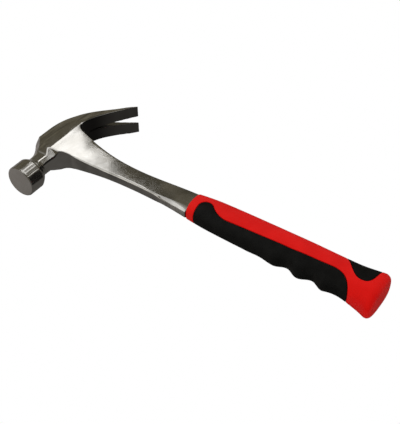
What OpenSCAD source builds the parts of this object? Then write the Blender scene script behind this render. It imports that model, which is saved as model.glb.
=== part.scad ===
// Claw hammer: one steel forging (poll, head, claws, shank and tang) with a moulded grip.
// The origin is the centre of the striking face. The face looks towards -Y, the handle runs
// along +X from the head to the butt, and z = 0 is the plane of symmetry. All sizes are in mm.

/* [Poll] */
// Diameter of the poll
face_d = 29; // [27:0.5:29]
// Width of the bevel round the striking face
face_bevel = 0.8; // [0.4:0.1:1.4]
// Length of the straight part of the poll
poll_len = 14.4; // [13:0.1:15.5]
// Width of the eight-sided neck behind the poll, across its flats
neck_w = 18.3; // [17:0.1:19]

/* [Head] */
// Thickness of the head across its cheeks
head_t = 27; // [25:0.5:27]
// Height of the crown above the centre of the face
crown_rise = 20.7; // [20:0.1:21.5]
// Rise of the bevel that runs along the crown, measured down the side
crown_bevel = 12.9; // [8:0.1:14]
// Distance from the face to the front corner of the crown
crown_y = 41.3; // [41:0.1:42.5]

/* [Claws] */
// Distance from the striking face to the claw tips
claw_reach = 131; // [126:0.5:134]
// Drop of the claw tips below the centre of the face
claw_drop = 29.7; // [27:0.1:32]
// Width across the claw tips
claw_w = 30.4; // [28:0.1:30.6]
// Width of the nail slot at the claw tips
slot_w = 6.8; // [6:0.1:8]
// Length of the nail slot
slot_len = 47; // [40:1:50]

/* [Shank] */
// Distance from the centre of the face to the shoulder under the grip
collar_x = 143.5; // [143:0.1:146]
// Thickness of the shank
shank_t = 9; // [8:0.1:10]
// Width of the shank at its waist
waist_w = 17.4; // [16:0.1:19]
// Distance from the face to the shank's centreline
shank_y = 58.1; // [57.5:0.1:58.6]
// Width of the bevels along the shank's edges
edge_bevel = 1.8; // [0.5:0.1:2.4]
// Length of the tang inside the grip
tang_len = 152; // [140:1:156]
// Thickness of the tang
tang_t = 6; // [5:0.1:7]

/* [Grip] */
// Length of the grip from its collar to the butt
grip_len = 177; // [172:0.5:180]
// Thickness of the grip in its middle
grip_t = 22; // [21:0.5:24]
// Thickness of the flared butt
butt_t = 27.6; // [26:0.1:29]
// Radius of the rounded edge round the butt
butt_round = 5.4; // [4:0.1:6]
// Depth of the finger grooves
groove_depth = 4.8; // [2:0.1:5.5]
// Thickness of the soft overmoulded panels
panel_t = 2.2; // [1.5:0.1:2.5]

/* [Hidden] */

$fn = 96;
curve_steps = 14;
reach_all = 400;
overlap = 0.5;

face_r = face_d / 2;
neck_r = neck_w / 2;
neck_x = -1.9;
neck_start_y = 16.5;
neck_top = neck_x - neck_r;
neck_front = neck_x + neck_r - 0.9;
ridge_x = 2;
crown_end_y = 62;
claw_root_y = 82;
cheek_y0 = 36;
cheek_back_y = 77.3;
cheek_fade = 18;
waist_x = 83;
butt_x = collar_x + grip_len;

steel = [0.62, 0.62, 0.60];
red = [0.80, 0.08, 0.08];
black = [0.07, 0.07, 0.07];

// A cubic curve through its first and last points, pulled towards the two between them.
function curve(a, b, c, d) = [for (i = [0 : curve_steps])
    let (t = i / curve_steps, s = 1 - t)
    s * s * s * a + 3 * s * s * t * b + 3 * s * t * t * c + t * t * t * d];
function arc(centre, r, from, to, steps = 12) = [for (i = [0 : steps])
    let (a = from + (to - from) * i / steps) centre + r * [cos(a), sin(a)]];
function smooth(t) = let (c = min(max(t, 0), 1)) c * c * (3 - 2 * c);
// Stays near 0 before `start` and then rises one for one, with a round turn `width` wide.
function bend(value, start, width) = let (t = value - start) (t + sqrt(t * t + width * width)) / 2;

// ---- The forging ----

// Front (-Y) and back (+Y) edges of the shank: shallow curves that meet at the waist.
function shank_front(x) = shank_y - waist_w / 2
    - (x < waist_x ? 0.0009 : 0.0010) * pow(x - waist_x, 2)
    + 0.0025 * pow(max(36 - x, 0), 2);
function shank_back(x) = shank_y + waist_w / 2 + 1.2
    + (x < waist_x ? 0.0018 * pow(x - waist_x, 2) : 2.9 * smooth((x - waist_x) / 60));
// Half thickness of the cheek and shank: it falls away from the ridge at the head.
function cheek_half(x) = shank_t / 2
    + (head_t / 2 - shank_t / 2) * exp(-max(x - ridge_x, 0) / cheek_fade);

module poll() {
    inner_end = [7, poll_len + 10.1];
    shoulder = curve([face_r, poll_len], [face_r - 2.5, poll_len + 5.1],
        inner_end + [2.6, -4], inner_end);
    rotate([-90, 0, 0])
        rotate_extrude()
            polygon(concat([[0, 0], [face_r - face_bevel, 0], [face_r, face_bevel]],
                shoulder, [[0, inner_end[1]]]));
}

module head_outline() {
    tip = [claw_drop, claw_reach];
    corner = [-crown_rise + 1.9, crown_y];
    polygon(concat(
        [[ridge_x + 0.6, neck_start_y], [neck_top, neck_start_y]],
        curve([neck_top, 24], [neck_top, 33], corner + [2.4, -2.8], corner),
        [corner + [-1.2, 2.7], [-crown_rise, crown_y + 7]],
        curve([-crown_rise, crown_end_y], [-crown_rise, crown_end_y + 38],
            tip - [26.6, 22.4], tip + [0, 0.8]),
        curve(tip, tip - [13.6, 17.3], [ridge_x + 0.6, claw_root_y + 16],
            [ridge_x + 0.6, claw_root_y])));
}

// The head's side view, trimmed to its width seen from above and bevelled along the crown.
module head_and_claws() {
    half = head_t / 2;
    edge = [[neck_start_y - 1, half], [claw_root_y + 3, half], [claw_root_y + 14, half + 0.3],
        [claw_reach + 1, claw_w / 2]];
    bevel_drop = 3.6;
    difference() {
        intersection() {
            linear_extrude(claw_w + 4, center = true) head_outline();
            rotate([90, 0, 90])
                linear_extrude(reach_all, center = true)
                    both_sides(edge);
        }
        for (side = [0, 1])
            mirror([0, 0, side])
                translate([-crown_rise + crown_bevel, 0, half])
                    rotate([0, -atan(bevel_drop / crown_bevel), 0])
                        translate([-40, 0, 0]) cube([40, 110, 20]);
        nail_slot();
    }
}

// The area between a line of points and another one that is mirrored below the first axis.
module between(upper, lower) {
    last = len(lower) - 1;
    polygon(concat(upper, [for (i = [0 : last]) [lower[last - i][0], -lower[last - i][1]]]));
}
module both_sides(edge) between(edge, edge);

// Thins the near end to the neck and lets it grow to the full thickness of the head.
module neck_flats() {
    flare = [for (y = [neck_start_y - 2 : 1.5 : 42.5])
        [y, neck_r + (head_t / 2 + 1 - neck_r) * smooth((y - 32) / 9)]];
    rotate([90, 0, 90])
        linear_extrude(2 * reach_all, center = true)
            both_sides(concat(flare, [[reach_all, head_t]]));
}

// Takes the corners off the near end, so that the neck has eight sides and flares out into the
// head. The slanting faces towards the crown flare sooner than those towards the throat.
module neck_corners() {
    wide = 60;
    ys = [for (y = [neck_start_y - 2.5 : 2 : 48]) y];
    over = concat([for (y = ys) [y, neck_r + 0.58 * bend(y, 30.3, 2.6)]], [[54, wide], [80, wide]]);
    under = concat([for (y = ys) [y, neck_r + 1.35 * bend(y, 38.4, 2) + 2 * bend(y, 46, 2)]],
        [[51, wide], [80, wide]]);
    difference() {
        translate([-30, neck_start_y - 1, -20]) cube([50, 40, 40]);
        intersection() {
            slanted(45, under, over);
            slanted(-45, over, under);
        }
    }
}

module slanted(turn, upper, lower) {
    translate([neck_x, 0, 0])
        rotate([0, turn, 0]) rotate([90, 0, 90])
            linear_extrude(2 * reach_all, center = true) between(upper, lower);
}

// A long V between the claws, cut square to the line from the slot's root to the tips.
module nail_slot() {
    rise = [29, 36];
    translate([claw_drop, claw_reach, 0])
        rotate([0, 0, atan2(rise[1], rise[0]) + 180])
            rotate([90, 0, 0])
                linear_extrude(40, center = true)
                    polygon([[-4, -slot_w / 2 - 0.4], [-4, slot_w / 2 + 0.4],
                        [slot_len, 0.4], [slot_len, -0.4]]);
}

module shank_outline() {
    steps = 12;
    front = [for (i = [0 : steps]) let (x = 20 + (collar_x - 20) * i / steps) [x, shank_front(x)]];
    back = [for (i = [0 : steps]) let (x = collar_x - (collar_x - 20) * i / steps)
        [x, shank_back(x)]];
    root = [ridge_x + 0.6 + 5.5, cheek_back_y + 5.5];
    polygon(concat(
        [[neck_front, neck_start_y]],
        curve([neck_front, 28], [neck_front, 39], [8, 46.2], front[0]),
        front, back, arc(root, 5.5, 270, 180, 8),
        [[ridge_x - 3, claw_root_y], [ridge_x - 3, neck_start_y]]));
}

// Cheeks and shank: the side view, trimmed by the falling thickness, with bevelled edges.
module shank() {
    xs = [for (i = [0 : 16]) ridge_x + (70 - ridge_x) * pow(i / 16, 1.4)];
    thickness = concat([[-1, head_t / 2]], [for (x = xs) [x, cheek_half(x)]],
        [[collar_x, shank_t / 2]]);
    intersection() {
        linear_extrude(head_t, center = true) shank_outline();
        rotate([90, 0, 0])
            linear_extrude(reach_all, center = true) both_sides(thickness);
        bevel_trim(45);
        bevel_trim(-45);
    }
}

// Takes the corners off the shank with an extrusion at 45 degrees to its side. The bevel
// grows from nothing beside the cheek to its full size at the waist.
module bevel_trim(turn) {
    steps = 16;
    start = 36;
    xs = [for (i = [0 : steps]) start + (collar_x - start) * i / steps];
    function loss(x) = edge_bevel * smooth((x - start) / 40);
    function back(x) = (shank_back(x) + cheek_half(x) - loss(x)) / sqrt(2);
    function front(x) = (shank_front(x) - cheek_half(x) + loss(x)) / sqrt(2);
    rotate([turn, 0, 0])
        linear_extrude(reach_all, center = true)
            polygon(concat([[-10, 100], [start - 1, 100]], [for (x = xs) [x, back(x)]],
                [for (i = [0 : steps]) let (x = xs[steps - i]) [x, front(x)]],
                [[start - 1, -10], [-10, -10]]));
}

// The tang tapers towards the butt. Notches in its edges lock the moulding in place.
module tang() {
    start_w = 16;
    end_w = 12;
    notch_r = 2.5;
    difference() {
        translate([collar_x - 2, shank_y, 0])
            linear_extrude(tang_t, center = true)
                polygon([[0, -start_w / 2], [tang_len + 2, -end_w / 2],
                    [tang_len + 2, end_w / 2], [0, start_w / 2]]);
        for (i = [1 : 3], side = [-1, 1])
            translate([collar_x + i * tang_len / 4, shank_y + side * (start_w / 2 - i * 0.5), 0])
                cylinder(h = tang_t + 2, r = notch_r, center = true, $fn = 32);
    }
}

module head_and_shank() {
    color(steel) {
        poll();
        difference() {
            intersection() {
                union() {
                    head_and_claws();
                    shank();
                }
                neck_flats();
            }
            neck_corners();
        }
        tang();
    }
}

// ---- The grip ----

// Stations along the grip: distance from the collar as a share of its length, then the back
// edge, the line over the finger ridges and the half thickness there.
half_t = grip_t / 2;
stations = [
    [0.00, 70.8, 46.3, half_t - 1.4],
    [0.05, 71.6, 45.4, half_t - 0.7],
    [0.12, 72.6, 44.3, half_t - 0.3],
    [0.24, 73.0, 43.2, half_t - 0.1],
    [0.36, 73.0, 42.2, half_t],
    [0.50, 73.0, 39.8, half_t],
    [0.62, 72.8, 38.4, half_t],
    [0.755, 72.0, 37.4, half_t],
    [0.85, 71.2, 36.4, half_t + 0.9],
    [0.93, 71.6, 34.9, butt_t / 2],
    [1.00, 74.2, 29.6, butt_t / 2]];
// Finger grooves: start and end along the grip, depth as a share of groove_depth, and a power
// that brings the deepest point nearer to the start.
grooves = [[0.34, 0.492, 0.22, 1], [0.492, 0.622, 0.98, 1], [0.622, 0.752, 1, 1],
    [0.752, 0.97, 0.58, 0.6]];

last_station = len(stations) - 1;
function slope_at(i, c) = let (a = stations[max(i - 1, 0)], b = stations[min(i + 1, last_station)])
    (b[c] - a[c]) / (b[0] - a[0]);
// Column c of the stations at share u, joined by cubic pieces with matching slopes.
function station(u, c) = let (
    i = max([for (k = [0 : last_station - 1]) if (u >= stations[k][0]) k]),
    a = stations[i], b = stations[i + 1], w = b[0] - a[0], t = (u - a[0]) / w)
    a[c] * (1 + 2 * t) * pow(1 - t, 2) + slope_at(i, c) * w * t * pow(1 - t, 2)
    + b[c] * t * t * (3 - 2 * t) + slope_at(i + 1, c) * w * t * t * (t - 1);
function groove(u) = max([for (g = grooves) u > g[0] && u < g[1]
    ? g[2] * groove_depth * pow(sin(180 * pow((u - g[0]) / (g[1] - g[0]), g[3])), 2) : 0]);

// One section of the grip at x, drawn in by `inset`: a rounded oblong whose widest line lies
// nearer the finger side towards the butt.
section_points = 36;
section_power = 2.5;
function section(x, inset) = let (
    u = min(max((x - collar_x) / grip_len, 0), 1),
    mid = 58.9 - 1.7 * smooth((u - 0.8) / 0.12),
    back = station(u, 1) - mid - inset,
    front = mid - station(u, 2) - groove(u) - inset,
    half = station(u, 3) - inset)
    [for (k = [0 : section_points - 1]) let (a = 360 * k / section_points,
        c = sign(cos(a)) * pow(abs(cos(a)), 2 / section_power),
        s = sign(sin(a)) * pow(abs(sin(a)), 2 / section_power))
        [x, mid + c * (c > 0 ? back : front), half * s]];

// The whole grip as one solid. A positive inset draws the skin in and leaves the core.
module grip_form(inset) {
    spacing = 2.9;
    rounds = 7;
    start = collar_x - (inset < 0 ? overlap : 0);
    run = butt_x - butt_round - start;
    body_rows = round(run / spacing);
    rows = concat(
        [for (i = [0 : body_rows]) section(start + run * i / body_rows, inset)],
        [for (i = [1 : rounds]) let (a = 90 * i / rounds)
            section(butt_x - butt_round + (butt_round - inset) * sin(a),
                inset + butt_round * 0.96 * (1 - cos(a)))]);
    n = section_points;
    top = len(rows) - 1;
    polyhedron(
        points = [for (row = rows) for (p = row) p],
        faces = concat(
            [[for (k = [0 : n - 1]) k]],
            [for (i = [0 : top - 1]) for (k = [0 : n - 1]) let (a = i * n + k,
                b = i * n + (k + 1) % n) each [[a, a + n, b], [b, a + n, b + n]]],
            [[for (k = [n - 1 : -1 : 0]) top * n + k]]),
        convexity = 6);
}

// The finger panel's side view: a high round lobe at the collar, a long straight edge below
// the middle of the grip, and a round end at the flare.
lobe = [collar_x + 14.8, 54];
lobe_r = 7;
module finger_outline() {
    polygon(concat(
        [[lobe[0] - lobe_r, 20]],
        arc(lobe, lobe_r, 180, 58),
        curve(lobe + [5.2, 4.8], lobe + [9.2, 0.9], lobe + [14.2, -3.2], lobe + [24.2, -3.1]),
        curve([butt_x - 45.3, 53.2], [butt_x - 31.3, 53.4], [butt_x - 26.3, 47],
            [butt_x - 19.8, 33]),
        [[butt_x - 19, 20]]));
}

// The heel pad's side view: a half-moon that leans towards the head.
heel = [butt_x - 16.2, 50.6];
module heel_outline() {
    polygon(concat(
        [heel + [-40, 28]],
        curve(heel + [-33.6, 24], heel + [-16.8, 20.4], heel + [-12.8, 0], heel),
        curve(heel, heel + [7.5, 0], heel + [8.2, 8], heel + [7.6, 39])));
}

// Space that the soft panels take up, reaching a little outside the grip.
module panel_space(outside) {
    intersection() {
        difference() {
            grip_form(-outside);
            grip_form(panel_t);
        }
        linear_extrude(reach_all, center = true) children();
    }
}

// A moulding keeps the size it is drawn at: each 0 leaves that side as it is.
module moulding(paint) color(paint) resize([0, 0, 0]) children();

module grip_body() {
    moulding(red)
        difference() {
            grip_form(0);
            panel_space(overlap) finger_outline();
            panel_space(overlap) heel_outline();
            tang();
        }
}

module finger_panel() {
    moulding(black) panel_space(0) finger_outline();
}

module heel_pad() {
    moulding(black) panel_space(0) heel_outline();
}

head_and_shank();
grip_body();
finger_panel();
heel_pad();
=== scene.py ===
"""Claw hammer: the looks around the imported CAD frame.

Shapes are worked out in millimetres and made in metres. Each piece is a smooth solid given by a
signed distance (negative inside), cut from simple fields that meet with rounded edges.
"""
import math

import bpy
import numpy as np
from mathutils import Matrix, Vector


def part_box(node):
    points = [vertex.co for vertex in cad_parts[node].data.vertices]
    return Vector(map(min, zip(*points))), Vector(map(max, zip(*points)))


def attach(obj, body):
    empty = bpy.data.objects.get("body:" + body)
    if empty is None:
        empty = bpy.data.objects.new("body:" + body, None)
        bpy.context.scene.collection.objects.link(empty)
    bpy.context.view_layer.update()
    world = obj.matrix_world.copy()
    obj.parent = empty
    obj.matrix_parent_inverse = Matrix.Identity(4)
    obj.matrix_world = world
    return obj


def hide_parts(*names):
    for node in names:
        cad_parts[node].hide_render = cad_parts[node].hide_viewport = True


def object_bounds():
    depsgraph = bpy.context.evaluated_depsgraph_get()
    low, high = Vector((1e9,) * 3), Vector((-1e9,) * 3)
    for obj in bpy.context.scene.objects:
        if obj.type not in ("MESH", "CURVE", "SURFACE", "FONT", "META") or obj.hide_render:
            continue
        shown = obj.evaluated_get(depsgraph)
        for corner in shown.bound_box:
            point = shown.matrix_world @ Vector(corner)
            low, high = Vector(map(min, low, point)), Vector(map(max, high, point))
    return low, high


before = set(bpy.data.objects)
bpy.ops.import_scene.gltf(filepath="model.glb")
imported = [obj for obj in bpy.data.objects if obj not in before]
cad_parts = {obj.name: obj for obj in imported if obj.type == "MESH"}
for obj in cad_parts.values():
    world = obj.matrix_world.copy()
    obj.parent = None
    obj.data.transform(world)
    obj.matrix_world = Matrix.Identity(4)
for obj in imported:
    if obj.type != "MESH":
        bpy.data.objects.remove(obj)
CAD_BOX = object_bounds()
MM = 0.001


def corners_mm(node):
    """Lowest and highest corner of a CAD node, in millimetres."""
    low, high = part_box(node)
    return np.array(low) / MM, np.array(high) / MM


STEEL_LOW, STEEL_HIGH = corners_mm("head_and_shank")
GRIP_LOW, GRIP_HIGH = corners_mm("grip_body")
PANEL_LOW, PANEL_HIGH = corners_mm("finger_panel")
PAD_LOW, PAD_HIGH = corners_mm("heel_pad")

# ---- Places, from the CAD frame ----
CROWN_X = STEEL_LOW[0]
TIP_Y = STEEL_HIGH[1]
TANG_END = STEEL_HIGH[0]
COLLAR_X = GRIP_LOW[0]
BUTT_X = GRIP_HIGH[0]
GRIP_LENGTH = BUTT_X - COLLAR_X

# ---- Sizes of the forging ----
FACE_R = 14.5
FACE_BEVEL = 0.8
NECK_X = -1.9
NECK_R = 9.15
NECK_START_Y = 16.5
RIDGE_X = 2.0
HEAD_HALF = 13.5
SHANK_HALF = 4.5
SHANK_Y = 58.1
WAIST_X = 83.0
WAIST_HALF = 8.7
CLAW_ROOT_Y = 82.0
CHEEK_FALL = 18.0


# ---- Field tools ----
def meet(a, b, radius):
    """The space inside both fields, with edges rounded to the radius."""
    round_part = np.hypot(np.maximum(a + radius, 0), np.maximum(b + radius, 0))
    return np.minimum(np.maximum(a, b), -radius) + round_part


def join(a, b, radius):
    """The space inside either field, with a fillet of the radius."""
    return -meet(-a, -b, radius)


def ramp(value, start, length):
    """0 before start, 1 after start + length, smooth between."""
    t = np.clip((value - start) / length, 0, 1)
    return t * t * (3 - 2 * t)


def soft_min(a, b, width):
    """The smaller of the two, with a round turn of that width where they cross."""
    return 0.5 * (a + b - np.sqrt((a - b) ** 2 + width * width))


def curve(a, b, c, d, steps=60):
    """Cubic Bezier points from a to d, pulled towards b and c."""
    t = np.linspace(0, 1, steps + 1)[:, None]
    a, b, c, d = (np.array(p, float) for p in (a, b, c, d))
    return a * (1 - t) ** 3 + 3 * b * t * (1 - t) ** 2 + 3 * c * t * t * (1 - t) + d * t ** 3


def arc(centre, radius, start, end, steps=40):
    """Points round part of a circle, from the start angle to the end angle in degrees."""
    a = np.radians(np.linspace(start, end, steps + 1))
    return np.array(centre) + radius * np.stack([np.cos(a), np.sin(a)], 1)


def segment_distance(px, py, line, closed):
    """Distance from points to a line of points, and whether each point is inside it."""
    best = np.full(px.shape, 1e9)
    inside = np.zeros(px.shape, bool)
    ends = np.roll(line, -1, 0) if closed else line[1:]
    for (ax, ay), (bx, by) in zip(line, ends):
        dx, dy = bx - ax, by - ay
        length2 = dx * dx + dy * dy
        if length2 < 1e-12:
            continue
        t = np.clip(((px - ax) * dx + (py - ay) * dy) / length2, 0, 1)
        best = np.minimum(best, (px - ax - t * dx) ** 2 + (py - ay - t * dy) ** 2)
        if (ay > py.min()) or (by > py.min()):
            crosses = (ay > py) != (by > py)
            if dy != 0:
                inside ^= crosses & (px < ax + (py - ay) * dx / dy)
    return np.sqrt(best), inside


class Profile:
    """Distance to a flat line, kept on a fine grid and read with cubic blending.

    It is negative inside a closed line. An open line has no inside.
    """

    def __init__(self, line, closed=True, step=0.5, margin=9.0):
        line = np.concatenate([np.atleast_2d(part) for part in line]).astype(float)
        self.low = line.min(0) - margin
        self.step = step
        count = np.ceil((line.max(0) + margin - self.low) / step).astype(int) + 3
        gx, gy = np.meshgrid(*(self.low[i] + step * np.arange(count[i]) for i in (0, 1)),
                             indexing="ij")
        distance, inside = segment_distance(gx, gy, line, closed)
        self.grid = np.where(inside, -distance, distance) if closed else distance

    def __call__(self, x, y):
        x, y = np.broadcast_arrays(x, y)
        u = (x - self.low[0]) / self.step
        v = (y - self.low[1]) / self.step
        u0 = np.clip(u, 1, self.grid.shape[0] - 2.001)
        v0 = np.clip(v, 1, self.grid.shape[1] - 2.001)
        beyond = np.hypot(u - u0, v - v0) * self.step
        i, j = u0.astype(int), v0.astype(int)
        wu, wv = cubic_weights(u0 - i), cubic_weights(v0 - j)
        total = np.zeros(u.shape)
        for a in range(4):
            ia = np.clip(i + a - 1, 0, self.grid.shape[0] - 1)
            for b in range(4):
                jb = np.clip(j + b - 1, 0, self.grid.shape[1] - 1)
                total += wu[a] * wv[b] * self.grid[ia, jb]
        return total + beyond


def cubic_weights(t):
    """Shares of the four grid values round a place, for a smooth curve through them."""
    return (-0.5 * t + t * t - 0.5 * t ** 3, 1 - 2.5 * t * t + 1.5 * t ** 3,
            0.5 * t + 2 * t * t - 1.5 * t ** 3, -0.5 * t * t + 0.5 * t ** 3)


def sampled(field, axes, step, block=6):
    """The field on the grid. Away from the surface, one value stands for a whole block."""
    middles = [a[::block] + step * (block - 1) / 2 for a in axes]
    coarse = field(middles[0][:, None, None], middles[1][None, :, None], middles[2][None, None, :])
    near = np.abs(coarse) < 1.4 * step * block
    for axis in range(3):
        coarse = np.repeat(coarse, block, axis)
        near = np.repeat(near, block, axis)
    part = tuple(slice(0, len(a)) for a in axes)
    value, near = coarse[part].copy(), near[part]
    i, j, k = np.nonzero(near)
    value[near] = field(axes[0][i], axes[1][j], axes[2][k])
    return value


def filled(value):
    """The grid with no square that is inside at two opposite corners only.

    Such a square would give the mesh an edge that four faces share.
    """
    crossed_squares = 1
    while crossed_squares:
        crossed_squares = 0
        for axis in range(3):
            first, second = [k for k in range(3) if k != axis]
            corner = []
            for p, q in ((0, 0), (0, 1), (1, 0), (1, 1)):
                cut = [slice(None)] * 3
                cut[first] = slice(p, value.shape[first] - 1 + p)
                cut[second] = slice(q, value.shape[second] - 1 + q)
                corner.append(value[tuple(cut)])
            a, b, c, d = (one < 0 for one in corner)
            crossed = (a == d) & (b == c) & (a != b)
            crossed_squares += crossed.sum()
            corner[0][crossed & ~a] = -0.001
            corner[1][crossed & ~b] = -0.001
    return value


def neighbours(axis):
    """Picks each grid point that has a next one along the axis, and picks the next ones."""
    first, following = [slice(None)] * 3, [slice(None)] * 3
    first[axis], following[axis] = slice(0, -1), slice(1, None)
    return tuple(first), tuple(following)


def cell_points(value, inside):
    """One point for each cell that the surface crosses, and the cells' point numbers.

    A point is the mean of the places where the surface crosses the edges of its cell.
    """
    cells = tuple(n - 1 for n in value.shape)
    total = np.zeros(cells + (3,), np.float32)
    hits = np.zeros(cells, np.int8)
    for axis in range(3):
        first, following = neighbours(axis)
        a, b = value[first], value[following]
        cross = inside[first] != inside[following]
        with np.errstate(divide="ignore", invalid="ignore"):
            t = np.where(cross, a / (a - b), 0)
        others = [k for k in range(3) if k != axis]
        for p in (0, 1):
            for q in (0, 1):
                cut = [slice(0, cells[k]) for k in range(3)]
                cut[others[0]] = slice(p, p + cells[others[0]])
                cut[others[1]] = slice(q, q + cells[others[1]])
                here, part = cross[tuple(cut)], t[tuple(cut)]
                hits += here
                total[..., axis] += np.where(here, part, 0)
                total[..., others[0]] += here * p
                total[..., others[1]] += here * q
    active = hits > 0
    index = np.full(cells, -1, np.int64)
    index[active] = np.arange(active.sum())
    return np.argwhere(active) + total[active] / hits[active][:, None], index


def cell_quads(inside, index):
    """A quad round each grid edge that the surface crosses, facing outwards."""
    quads = []
    for axis in range(3):
        others = [k for k in range(3) if k != axis]
        first, following = neighbours(axis)
        a, b = inside[first], inside[following]
        for direction in (True, False):
            edge = np.argwhere((a != b) & (a == direction))
            edge = edge[(edge[:, others[0]] > 0) & (edge[:, others[1]] > 0)]
            corner = []
            for p, q in ((1, 1), (0, 1), (0, 0), (1, 0)):
                at = edge.copy()
                at[:, others[0]] -= p
                at[:, others[1]] -= q
                corner.append(index[at[:, 0], at[:, 1], at[:, 2]])
            quad = np.stack(corner, 1)
            if direction != (axis == 1):
                quads.append(quad)
            else:
                quads.append(quad[:, ::-1])
    return np.concatenate(quads)


def solid_mesh(name, field, low, high, step, relax=2):
    """A closed quad mesh of the surface where the field is zero, with its exact normals."""
    low, high = np.array(low, float), np.array(high, float)
    axes = [low[i] + step * np.arange(int(math.ceil((high[i] - low[i]) / step)) + 1)
            for i in range(3)]
    value = filled(sampled(field, axes, step))
    inside = value < 0
    places, index = cell_points(value, inside)
    points = low + step * places
    quads = cell_quads(inside, index)
    for turn in range(relax + 1):
        points = onto_surface(points, field, step)
        if turn < relax:
            points = evened(points, quads)
    normals = slope_of(points, field)[1]
    normals /= np.linalg.norm(normals, axis=1)[:, None]
    mesh = bpy.data.meshes.new(name)
    mesh.from_pydata((points * MM).tolist(), [], quads.tolist())
    mesh.update()
    mesh.polygons.foreach_set("use_smooth", np.ones(len(quads), bool))
    mesh.normals_split_custom_set_from_vertices(normals.tolist())
    piece = bpy.data.objects.new(name, mesh)
    bpy.context.collection.objects.link(piece)
    return piece


def slope_of(points, field, reach=0.04):
    """The field and its gradient at each point."""
    x, y, z = points.T
    value = field(x, y, z)
    parts = []
    for axis in range(3):
        shift = [0.0, 0.0, 0.0]
        shift[axis] = reach
        more = field(x + shift[0], y + shift[1], z + shift[2])
        less = field(x - shift[0], y - shift[1], z - shift[2])
        parts.append((more - less) / (2 * reach))
    return value, np.stack(parts, 1)


def onto_surface(points, field, step, turns=2):
    """Moves points along the field's slope until they lie where it is zero."""
    for _ in range(turns):
        value, slope = slope_of(points, field)
        size2 = np.maximum((slope ** 2).sum(1), 0.05)
        move = -(value / size2)[:, None] * slope
        length = np.linalg.norm(move, axis=1)
        move *= np.minimum(1, 0.7 * step / np.maximum(length, 1e-9))[:, None]
        points = points + move
    return points


def evened(points, quads, share=0.5):
    """Draws each point towards the middle of its neighbours."""
    total = np.zeros_like(points)
    count = np.zeros(len(points))
    for k in range(4):
        a, b = quads[:, k], quads[:, (k + 1) % 4]
        np.add.at(total, a, points[b])
        np.add.at(total, b, points[a])
        np.add.at(count, a, 1)
        np.add.at(count, b, 1)
    return points + share * (total / count[:, None] - points)


# ---- The forging ----
def shank_front(x):
    """Y of the shank's edge on the striking side."""
    near_throat = 0.0025 * np.maximum(36 - x, 0) ** 2
    bow = np.where(x < WAIST_X, 0.0009, 0.0010) * (x - WAIST_X) ** 2
    return SHANK_Y - WAIST_HALF - bow + near_throat


def shank_back(x):
    """Y of the shank's edge on the claws' side."""
    past_waist = 2.9 * ramp(x, WAIST_X, 60)
    return SHANK_Y + WAIST_HALF + 1.2 + np.where(x < WAIST_X, 0.0018 * (x - WAIST_X) ** 2, past_waist)


TIP = np.array([29.7, TIP_Y - 0.8])
CROWN_CORNER = np.array([CROWN_X + 1.9, 41.3])
NECK_TOP = NECK_X - NECK_R
NECK_FRONT = NECK_X + NECK_R - 0.9
CROWN_LINE = np.concatenate([
    [[NECK_TOP, NECK_START_Y]],
    curve([NECK_TOP, 24], [NECK_TOP, 33], CROWN_CORNER - [-2.4, 2.8], CROWN_CORNER),
    curve(CROWN_CORNER, CROWN_CORNER + [-1.6, 2.5], [CROWN_X, 46.5], [CROWN_X, 50], 20),
    curve([CROWN_X, 62], [CROWN_X, 100], TIP - [26.6, 22.4], TIP + [0, 0.8])])
SPAN = np.linspace(20, COLLAR_X, 60)
THROAT = np.concatenate([
    [[NECK_FRONT, NECK_START_Y]],
    curve([NECK_FRONT, 28], [NECK_FRONT, 39], [8.0, 46.2], [20, shank_front(20)])])
ROOT = arc([RIDGE_X + 6.1, 82.8], 5.5, 270, 180, 24)
UNDERSIDE = curve([RIDGE_X + 0.6, CLAW_ROOT_Y + 1], [RIDGE_X + 0.6, CLAW_ROOT_Y + 16],
                  TIP - [13.6, 17.3], TIP)
SIDE = Profile([CROWN_LINE, UNDERSIDE[::-1], ROOT[::-1],
                np.stack([SPAN, shank_back(SPAN)], 1),
                np.stack([SPAN, shank_front(SPAN)], 1)[::-1], THROAT[::-1]])
CROWN = Profile([CROWN_LINE], closed=False)
RIM = [[FACE_R - FACE_BEVEL, 0], [FACE_R, FACE_BEVEL]]
SHOULDER = curve([FACE_R, 14.4], [FACE_R - 2.5, 19.5], [9.6, 20.5], [7.0, 24.5])
POLL_HALF = np.concatenate([RIM, SHOULDER])
POLL = Profile([POLL_HALF, POLL_HALF[::-1] * [-1, 1]], step=0.25)

CLAW_LINE = np.array([29.0, 36.0]) / math.hypot(29, 36)
SLOT_HALF = 3.4
SLOT_LENGTH = 47.0


def half_thickness(x, y):
    """Half the forging's thickness at a point of its side view."""
    down = x - RIDGE_X
    down = 0.5 * (down + np.sqrt(down * down + 1.2))
    cheek = SHANK_HALF + (HEAD_HALF - SHANK_HALF) * np.exp(-down / CHEEK_FALL)
    claw = HEAD_HALF - 0.3 * ramp(y, 84, 12) + 1.7 * ramp(y, 98, 30)
    half = cheek + (claw - cheek) * ramp(y, CLAW_ROOT_Y, 4)
    outer = 9.9 + 4.2 * np.clip((y - 90) / 36, 0, 1) ** 1.15 + 0.7 * ramp(y, 118, 10)
    half = soft_min(half, outer + 0.28 * CROWN(x, y), 0.35)
    neck = NECK_R + (HEAD_HALF + 1 - NECK_R) * ramp(y, 32, 9) + 2 * ramp(y, 60, 20)
    return soft_min(half, neck, 0.4)


def bend(value, start, width):
    """0 before start and the distance past it after, with a round turn of that width."""
    t = value - start
    return 0.5 * (t + np.sqrt(t * t + width * width))


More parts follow.
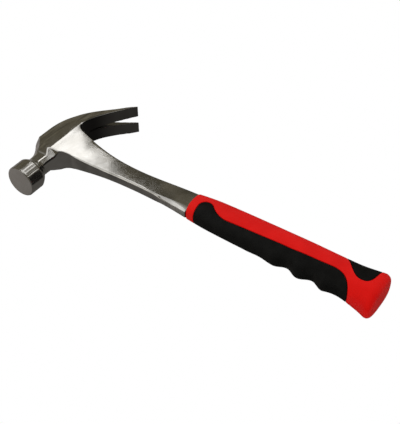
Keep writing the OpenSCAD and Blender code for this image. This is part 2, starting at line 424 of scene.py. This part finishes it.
def neck_corners(x, y, side_z):
    """Distance past the slanting faces that make the neck eight-sided and flare into the head."""
    over = (NECK_X - x + side_z) / math.sqrt(2) - NECK_R
    under = (x - NECK_X + side_z) / math.sqrt(2) - NECK_R
    over = over - 0.58 * bend(y, 30.3, 2.6) - 40 * ramp(y, 48, 20)
    under = under - 1.35 * bend(y, 38.4, 2) - 2 * bend(y, 46, 2) - 1.5 * bend(x, 26, 4)
    return over, under


def shank_bevels(x, y, side_z, half):
    """Distance past the bevels along the shank's front and back edges."""
    leg_z = 0.4 + 2.1 * ramp(x, 22, 60) - 1.2 * ramp(x, 100, 45)
    front_leg = 0.4 + 0.8 * ramp(x, 22, 40) + 3.6 * ramp(x, 105, 40)
    elsewhere = 20 * (1 - ramp(x, 12, 10)) + 80 * ramp(y, 77, 3)
    for past_edge, leg in ((shank_front(x) - y, front_leg), (y - shank_back(x), 1.2)):
        bevel = ((past_edge + leg) * leg_z + (side_z - half) * leg) / np.hypot(leg, leg_z)
        yield bevel - elsewhere


def nail_slot(x, y, side_z):
    """Depth inside the V between the claws, which opens towards the tips."""
    along = (TIP[0] - x) * CLAW_LINE[0] + (TIP[1] - y) * CLAW_LINE[1]
    wide = SLOT_HALF * (1 - along / SLOT_LENGTH) + 0.2
    return np.where((along < SLOT_LENGTH + 6) & (y > CLAW_ROOT_Y), wide, -5) - side_z


def forging(x, y, z):
    """Poll, head, claws and shank, with the tang. Edges are sharper towards the claw tips."""
    side_z = np.abs(z)
    half = half_thickness(x, y)
    crisp = ramp(y, 110, 18)
    body = meet(SIDE(x, y), side_z - half, 0.7 - 0.62 * crisp)
    for face in neck_corners(x, y, side_z):
        body = meet(body, face, 0.8)
    for bevel in shank_bevels(x, y, side_z, half):
        body = meet(body, bevel, 0.6)
    body = meet(body, nail_slot(x, y, side_z), 0.4 - 0.32 * crisp)
    poll = POLL(np.hypot(x, z), y)
    head = join(body, poll, 1.0)
    return np.minimum(meet(head, x - COLLAR_X, 0.2), tang(x, y, z))


TANG_WIDE = 8
TANG_TAPER = 2
TANG_HALF = 3
NOTCH_R = 2.5


def tang(x, y, z):
    """The bar inside the grip, with lock notches in its edges. It starts inside the shank."""
    start, length = COLLAR_X, TANG_END - COLLAR_X
    share = np.clip((x - start) / length, 0, 1)
    across = np.abs(y - SHANK_Y)
    bar = meet(across - (TANG_WIDE - TANG_TAPER * share), np.abs(z) - TANG_HALF, 0.4)
    bar = meet(bar, x - TANG_END, 0.4)
    bar = meet(bar, start - 4 - x, 0.1)
    for i in (1, 2, 3):
        edge = TANG_WIDE - i * TANG_TAPER / 4
        notch = np.hypot(x - start - i * length / 4, across - edge) - NOTCH_R
        bar = np.maximum(bar, -notch)
    return bar


# ---- The grip ----
POWER = 2.5
BUTT_ROUND = 5.4
PANEL_T = 2.2
SEAM = 0.25
GRIP_HALF = 11.0
BUTT_HALF = 13.8
GRIP_MIDDLE_Y = 58.9
BUTT_SHIFT = 1.7
END_DOME = 1.1
# Stations along the grip: share of its length, then the back edge, the line over the finger
# ridges and the half thickness there.
STATIONS = np.array([
    [0.00, 70.8, 46.3, GRIP_HALF - 1.4],
    [0.05, 71.6, 45.4, GRIP_HALF - 0.7],
    [0.12, 72.6, 44.3, GRIP_HALF - 0.3],
    [0.24, 73.0, 43.2, GRIP_HALF - 0.1],
    [0.36, 73.0, 42.2, GRIP_HALF],
    [0.50, 73.0, 39.8, GRIP_HALF],
    [0.62, 72.8, 38.4, GRIP_HALF],
    [0.755, 72.0, 37.4, GRIP_HALF],
    [0.85, 71.2, 36.4, GRIP_HALF + 0.9],
    [0.93, 71.6, 34.9, BUTT_HALF],
    [1.00, 74.2, 29.6, BUTT_HALF]])
# Finger grooves: start and end along the grip, depth, and how soon the deepest point comes.
GROOVES = ((0.34, 0.492, 1.05, 1), (0.492, 0.622, 4.7, 1), (0.622, 0.752, 4.8, 1),
           (0.752, 0.97, 2.8, 0.6))


def station(share, column):
    """A column of the stations at each share, joined by cubic pieces with matching slopes."""
    at, value = STATIONS[:, 0], STATIONS[:, column]
    slope = np.empty(len(at))
    slope[1:-1] = (value[2:] - value[:-2]) / (at[2:] - at[:-2])
    slope[0] = (value[1] - value[0]) / (at[1] - at[0])
    slope[-1] = (value[-1] - value[-2]) / (at[-1] - at[-2])
    i = np.clip(np.searchsorted(at, share, side="right") - 1, 0, len(at) - 2)
    w = at[i + 1] - at[i]
    t = (share - at[i]) / w
    return (value[i] * (1 + 2 * t) * (1 - t) ** 2 + slope[i] * w * t * (1 - t) ** 2
            + value[i + 1] * t * t * (3 - 2 * t) + slope[i + 1] * w * t * t * (t - 1))


def groove(share):
    """Depth of the finger grooves, with round ridges between them."""
    depth = 0.0
    for start, end, deep, skew in GROOVES:
        t = np.clip((share - start) / (end - start), 0, 1)
        depth = depth + deep * np.sin(math.pi * t ** skew) ** 2
    return depth


def grip_form(x, y, z):
    """The whole grip, before it is split into its red and black parts."""
    share = np.clip((x - COLLAR_X) / GRIP_LENGTH, 0, 1)
    middle = GRIP_MIDDLE_Y - BUTT_SHIFT * ramp(share, 0.8, 0.12)
    back = station(share, 1) - middle
    front = middle - station(share, 2) - groove(share)
    half = station(share, 3)
    across = y - middle
    reach = np.where(across > 0, back, front)
    a = np.maximum(np.abs(across) / reach, 1e-3)
    b = np.maximum(np.abs(z) / half, 1e-3)
    size = (a ** POWER + b ** POWER) ** (1 / POWER)
    slope = np.hypot((a / size) ** (POWER - 1) / reach, (b / size) ** (POWER - 1) / half)
    side = (size - 1) / slope
    end = x - BUTT_X + END_DOME * size * size
    return meet(meet(side, end, BUTT_ROUND), COLLAR_X - x, 0.5)


LOBE = np.array([COLLAR_X + 14.8, 54.0])
LOBE_R = 7.0
FINGER = Profile([
    [[LOBE[0] - LOBE_R, 20]],
    arc(LOBE, LOBE_R, 180, 58),
    curve(LOBE + [5.2, 4.8], LOBE + [9.2, 0.9], LOBE + [14.2, -3.2], LOBE + [24.2, -3.1]),
    curve([BUTT_X - 45.3, 53.2], [BUTT_X - 31.3, 53.4], [BUTT_X - 26.3, 47],
          [BUTT_X - 19.8, 33]),
    [[BUTT_X - 19, 20]]])
HEEL = np.array([BUTT_X - 16.2, 50.6])
HEEL_PAD = Profile([
    [HEEL + [-40, 28]],
    curve(HEEL + [-33.6, 24], HEEL + [-16.8, 20.4], HEEL - [12.8, 0], HEEL),
    curve(HEEL, HEEL + [7.5, 0], HEEL + [8.2, 8], HEEL + [7.6, 39])])


def panel(outline):
    """A soft panel: the part of the grip's skin inside the outline."""
    def field(x, y, z):
        outer = grip_form(x, y, z)
        skin = meet(outer, outline(x, y) + SEAM, 0.55)
        return meet(skin, -outer - PANEL_T, 0.2)
    return field


def grip_body(x, y, z):
    """The red moulding: the grip without its panels and without the space around the tang."""
    outer = grip_form(x, y, z)
    body = outer
    for outline in (FINGER, HEEL_PAD):
        pocket = np.maximum(outline(x, y), -outer - PANEL_T)
        body = meet(body, -pocket, 0.55)
    return np.maximum(body, 0.05 - tang(x, y, z))


# ---- The pieces ----
STEEL_STEP = 0.55
GRIP_STEP = 0.6
MARGIN = 1.5


def piece(name, node, slot, field, low, high, step):
    """Makes one piece, attaches it to the root body, and hides the CAD node that it stands for."""
    made = solid_mesh(name, field, low - MARGIN, high + MARGIN, step)
    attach(made, "root")
    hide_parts(node)
    return made


head_and_shank = piece("head_and_shank_forging", "head_and_shank", "polished_steel",
                       forging, STEEL_LOW, STEEL_HIGH, STEEL_STEP)
red_moulding = piece("grip_body_moulding", "grip_body", "red_plastic",
                     grip_body, GRIP_LOW, GRIP_HIGH, GRIP_STEP)
finger_rubber = piece("finger_panel_rubber", "finger_panel", "black_rubber",
                      panel(FINGER), PANEL_LOW, PANEL_HIGH, GRIP_STEP)
heel_rubber = piece("heel_pad_rubber", "heel_pad", "black_rubber",
                    panel(HEEL_PAD), PAD_LOW, PAD_HIGH, GRIP_STEP)


# ---- Materials ----
def add(tree, kind, inputs=None, **settings):
    """A new node with its settings and inputs: each input is a value or another node's output."""
    node = tree.nodes.new("ShaderNode" + kind)
    for key, value in settings.items():
        setattr(node, key, value)
    for key, value in (inputs or {}).items():
        if isinstance(value, bpy.types.NodeSocket):
            tree.links.new(value, node.inputs[key])
        else:
            node.inputs[key].default_value = value
    return node


def rescale(tree, value, low, high, to_low, to_high, smooth=False):
    """Maps low..high to to_low..to_high, and holds the ends."""
    kind = "SMOOTHSTEP" if smooth else "LINEAR"
    inputs = {"Value": value, "From Min": low, "From Max": high, "To Min": to_low,
              "To Max": to_high}
    return add(tree, "MapRange", inputs, interpolation_type=kind).outputs["Result"]


def maths(tree, operation, a, b=0.0):
    return add(tree, "Math", {0: a, 1: b}, operation=operation).outputs[0]


def noise(tree, scale, detail=3.0, stretch=(1, 1, 1)):
    """Noise with features of about 1/scale metres, drawn out by the stretch on each axis."""
    place = add(tree, "TexCoord").outputs["Object"]
    spread = add(tree, "Mapping", {"Vector": place, "Scale": [scale / s for s in stretch]})
    inputs = {"Vector": spread.outputs["Vector"], "Scale": 1.0, "Detail": detail}
    return add(tree, "TexNoise", inputs).outputs[0]


def blend(tree, share, first, second):
    if isinstance(second, float):
        second = (second, second, second, 1)
    inputs = {0: share, 6: first, 7: second}
    return add(tree, "Mix", inputs, data_type="RGBA").outputs[2]


def darkened(tree, colour, share, factor):
    """The colour times the factor, where the share is 1."""
    level = blend(tree, share, (1, 1, 1, 1), factor)
    return add(tree, "Mix", {0: 1.0, 6: colour, 7: level}, data_type="RGBA",
               blend_type="MULTIPLY").outputs[2]


def material(name, *pieces):
    made = bpy.data.materials.new(name)
    made.use_nodes = True
    for one in pieces:
        one.data.materials.append(made)
    return made.node_tree, made.node_tree.nodes["Principled BSDF"]


def connect(tree, shader, **sockets):
    for name, value in sockets.items():
        target = shader.inputs[name.replace("_", " ")]
        if isinstance(value, bpy.types.NodeSocket):
            tree.links.new(value, target)
        else:
            target.default_value = value


def polished_steel():
    tree, shader = material("polished_steel", head_and_shank)
    place = add(tree, "SeparateXYZ", {0: add(tree, "TexCoord").outputs["Object"]}).outputs
    shape = add(tree, "NewGeometry").outputs
    facing = add(tree, "SeparateXYZ", {0: shape["Normal"]}).outputs
    on_shank = rescale(tree, place["X"], 0.012, 0.035, 0, 1, True)
    along_head = noise(tree, 2500, 2, (1, 14, 1))
    along_shank = noise(tree, 2500, 2, (14, 1, 1))
    streaks = blend(tree, on_shank, along_head, along_shank)
    rough = rescale(tree, noise(tree, 90, 4), 0.35, 0.65, 0.09, 0.15)
    rough = maths(tree, "ADD", rough, rescale(tree, streaks, 0.3, 0.7, -0.02, 0.04))
    tone = rescale(tree, noise(tree, 160, 5, (1, 2.5, 1)), 0.3, 0.7, 0, 1)
    colour = blend(tree, tone, (0.60, 0.585, 0.555, 1), (0.68, 0.67, 0.65, 1))
    grinding = rescale(tree, noise(tree, 420, 3, (1, 12, 3)), 0.36, 0.64, 0.75, 1.5)
    on_crown = rescale(tree, facing["X"], -0.04, -0.16, 0, 1)
    colour = darkened(tree, colour, on_crown, grinding)
    # Random darker and lighter patches on the shank: painted reflection, standing in for the shank's
    # mottled reflections.
    reflection_patches = rescale(tree, noise(tree, 42, 2), 0.38, 0.62, 0.68, 1.12)
    colour = darkened(tree, colour, on_shank, reflection_patches)
    # Lighter colour on sharp convex edges, found from the mesh's pointiness.
    lighter_on_edges = rescale(tree, shape["Pointiness"], 0.53, 0.62, 0, 1)
    colour = blend(tree, lighter_on_edges, colour, (0.80, 0.79, 0.77, 1))
    # Painted shade under the claws: the steel's colour is darkened on the claws' undersides, where
    # shade falls, so it stays dark under any lighting.
    turned = maths(tree, "ADD", facing["X"], rescale(tree, place["Y"], 0.082, 0.092, 0, 0.3))
    painted_shade_under_claws = maths(tree, "MULTIPLY", rescale(tree, turned, 0.2, 0.4, 0, 1),
                        rescale(tree, place["Y"], 0.076, 0.080, 0, 1))
    # Strength of the painted shade: the colour keeps 8 % at 94 mm along the head, rising to 34 % at
    # 118 mm.
    depth = rescale(tree, place["Y"], 0.094, 0.118, 0.08, 0.34, True)
    colour = darkened(tree, colour, painted_shade_under_claws, depth)
    # Painted shadow: a thin dark band on the steel just before the grip's collar, where the seam
    # between the parts is shaded.
    painted_collar_shadow = rescale(tree, place["X"], COLLAR_X * MM - 0.0009, COLLAR_X * MM - 0.0003, 0, 1)
    colour = darkened(tree, colour, painted_collar_shadow, 0.15)
    fine = add(tree, "Bump", {"Strength": 0.12, "Distance": 0.0001, "Height": streaks})
    pitted = add(tree, "Bump", {"Strength": 0.3, "Distance": 0.00003,
                                "Height": noise(tree, 420, 3), "Normal": fine.outputs[0]})
    wavy = add(tree, "Bump", {"Strength": 0.07, "Distance": 0.0003, "Height": noise(tree, 60, 2),
                              "Normal": pitted.outputs[0]})
    connect(tree, shader, Base_Color=colour, Metallic=1.0, Roughness=rough,
            Normal=wavy.outputs[0])


def red_plastic():
    tree, shader = material("red_plastic", red_moulding)
    tone = rescale(tree, noise(tree, 60, 4), 0.3, 0.7, 0, 1)
    colour = blend(tree, tone, (0.63, 0.004, 0.003, 1), (0.72, 0.007, 0.005, 1))
    rough = rescale(tree, noise(tree, 300, 3), 0.3, 0.7, 0.34, 0.44)
    bump = add(tree, "Bump", {"Strength": 0.25, "Distance": 0.00008,
                              "Height": noise(tree, 1800, 3)})
    connect(tree, shader, Base_Color=colour, Roughness=rough, Normal=bump.outputs[0],
            Specular_IOR_Level=0.15, Specular_Tint=(1, 0.3, 0.25, 1))


def black_rubber():
    tree, shader = material("black_rubber", finger_rubber, heel_rubber)
    tone = rescale(tree, noise(tree, 120, 5), 0.3, 0.7, 0, 1)
    colour = blend(tree, tone, (0.003, 0.003, 0.0025, 1), (0.006, 0.006, 0.005, 1))
    rough = rescale(tree, noise(tree, 400, 3), 0.3, 0.7, 0.55, 0.72)
    bump = add(tree, "Bump", {"Strength": 0.4, "Distance": 0.00012,
                              "Height": noise(tree, 1500, 4)})
    connect(tree, shader, Base_Color=colour, Roughness=rough, Normal=bump.outputs[0],
            Specular_IOR_Level=0.15)


polished_steel()
red_plastic()
black_rubber()

# ---- Studio ----
CENTRE = (CAD_BOX[0] + CAD_BOX[1]) / 2


def studio_sky():
    """White to the camera, soft and even for matt surfaces, and a dim room in reflections."""
    world = bpy.data.worlds.new("studio")
    bpy.context.scene.world = world
    world.use_nodes = True
    tree = world.node_tree
    direction = add(tree, "TexCoord").outputs["Generated"]
    axis = add(tree, "SeparateXYZ", {0: direction}).outputs
    wall = blend(tree, rescale(tree, axis["X"], -0.64, -0.48, 0, 1, True),
                 (0.27, 0.25, 0.235, 1), (0.098, 0.093, 0.086, 1))
    upper = blend(tree, rescale(tree, axis["Z"], 0.72, 0.86, 0, 1, True),
                  (0.104, 0.093, 0.066, 1), (0.30, 0.29, 0.27, 1))
    room = blend(tree, rescale(tree, axis["Z"], -0.1, 0.1, 0, 1, True), wall, upper)
    dark_side = maths(tree, "MULTIPLY", rescale(tree, axis["X"], 0.62, 0.74, 0, 1, True),
                      rescale(tree, axis["Z"], -0.46, -0.36, 0, 1, True))
    room = blend(tree, dark_side, room, (0.012, 0.011, 0.010, 1))
    window = maths(tree, "MULTIPLY", rescale(tree, axis["Y"], -0.78, -0.84, 0, 1, True),
                   rescale(tree, axis["Z"], -0.02, 0.04, 0, 1, True))
    window = maths(tree, "MULTIPLY", window, rescale(tree, axis["X"], -0.2, -0.32, 0, 1, True))
    room = blend(tree, window, room, (1.1, 1.07, 1.0, 1))
    soft = blend(tree, rescale(tree, axis["Z"], -0.3, 0.9, 0, 1), (0.55, 0.55, 0.55, 1),
                 (1.15, 1.15, 1.15, 1))
    soft = darkened(tree, soft, rescale(tree, axis["X"], 0.35, 0.8, 0, 1, True), 0.5)
    path = add(tree, "LightPath").outputs
    colour = blend(tree, path["Is Glossy Ray"], soft, room)
    colour = blend(tree, path["Is Camera Ray"], colour, (1, 1, 1, 1))
    tree.links.new(colour, tree.nodes["Background"].inputs["Color"])


# Softboxes: name, two corners in millimetres, and strength.
SOFTBOX_HEIGHT = 150
SOFTBOXES = (
    ("main_softbox", (-72, 106), (13, 174), 1.55),
    ("far_softbox", (-92, 174), (-50, 192), 1.4),
    ("left_strip", (-22, 82), (-4, 106), 1.3),
    ("right_strip", (38, 82), (54, 108), 1.1),
    ("dim_strip", (96, 84), (112, 122), 0.35),
    ("neck_strip", (146, -300), (170, 145), 0.85),
    ("edge_strip", (-50, -190), (84, 80), 0.9))


def softbox(name, low, high, strength):
    """A bright card over the hammer that shows only in its reflections."""
    middle = [(low[0] + high[0]) / 2, (low[1] + high[1]) / 2, SOFTBOX_HEIGHT]
    bpy.ops.mesh.primitive_plane_add(size=1, location=[v * MM for v in middle])
    card = bpy.context.object
    card.name = name
    card.scale = ((high[0] - low[0]) * MM, (high[1] - low[1]) * MM, 1)
    card.visible_camera = False
    card.visible_diffuse = False
    card.visible_shadow = False
    tree, shader = material(name, card)
    glow = add(tree, "Emission", {"Color": (1, 0.99, 0.97, 1), "Strength": strength})
    tree.links.new(glow.outputs[0], tree.nodes["Material Output"].inputs["Surface"])


def floor():
    """A pale floor under the hammer: white to the camera, and not seen in reflections."""
    bpy.ops.mesh.primitive_plane_add(size=6, location=(CENTRE.x, CENTRE.y, CAD_BOX[0].z))
    plane = bpy.context.object
    plane.name = "floor"
    plane.visible_glossy = False
    tree, shader = material("pale_floor", plane)
    connect(tree, shader, Base_Color=(0.8, 0.8, 0.8, 1), Roughness=0.9)
    white = add(tree, "Emission", {"Color": (1, 1, 1, 1), "Strength": 1.0})
    seen = add(tree, "LightPath").outputs["Is Camera Ray"]
    mix = add(tree, "MixShader", {0: seen, 1: shader.outputs[0], 2: white.outputs[0]})
    tree.links.new(mix.outputs[0], tree.nodes["Material Output"].inputs["Surface"])


AZIMUTH = 34.21
ELEVATION = 42.38
FOCAL_LENGTH = 74.0
CAMERA_DISTANCE = 0.761
TARGET_OFFSET = Vector((-0.0102, 0.0077, -0.0193))


def place_camera():
    """The photo's view, with angles in degrees and distances in metres."""
    lens = bpy.data.cameras.new("camera")
    lens.lens = FOCAL_LENGTH
    lens.sensor_width = 36
    camera = bpy.data.objects.new("camera", lens)
    azimuth, elevation = math.radians(AZIMUTH), math.radians(ELEVATION)
    back = Vector((math.sin(azimuth) * math.cos(elevation),
                   -math.cos(azimuth) * math.cos(elevation), math.sin(elevation)))
    target = CENTRE + TARGET_OFFSET
    camera.location = target + back * CAMERA_DISTANCE
    camera.rotation_euler = (-back).to_track_quat("-Z", "Y").to_euler()
    bpy.context.collection.objects.link(camera)
    bpy.context.scene.camera = camera


studio_sky()
for card_name, card_low, card_high, card_strength in SOFTBOXES:
    softbox(card_name, card_low, card_high, card_strength)
floor()
place_camera()
bpy.context.scene.view_settings.view_transform = "Standard"
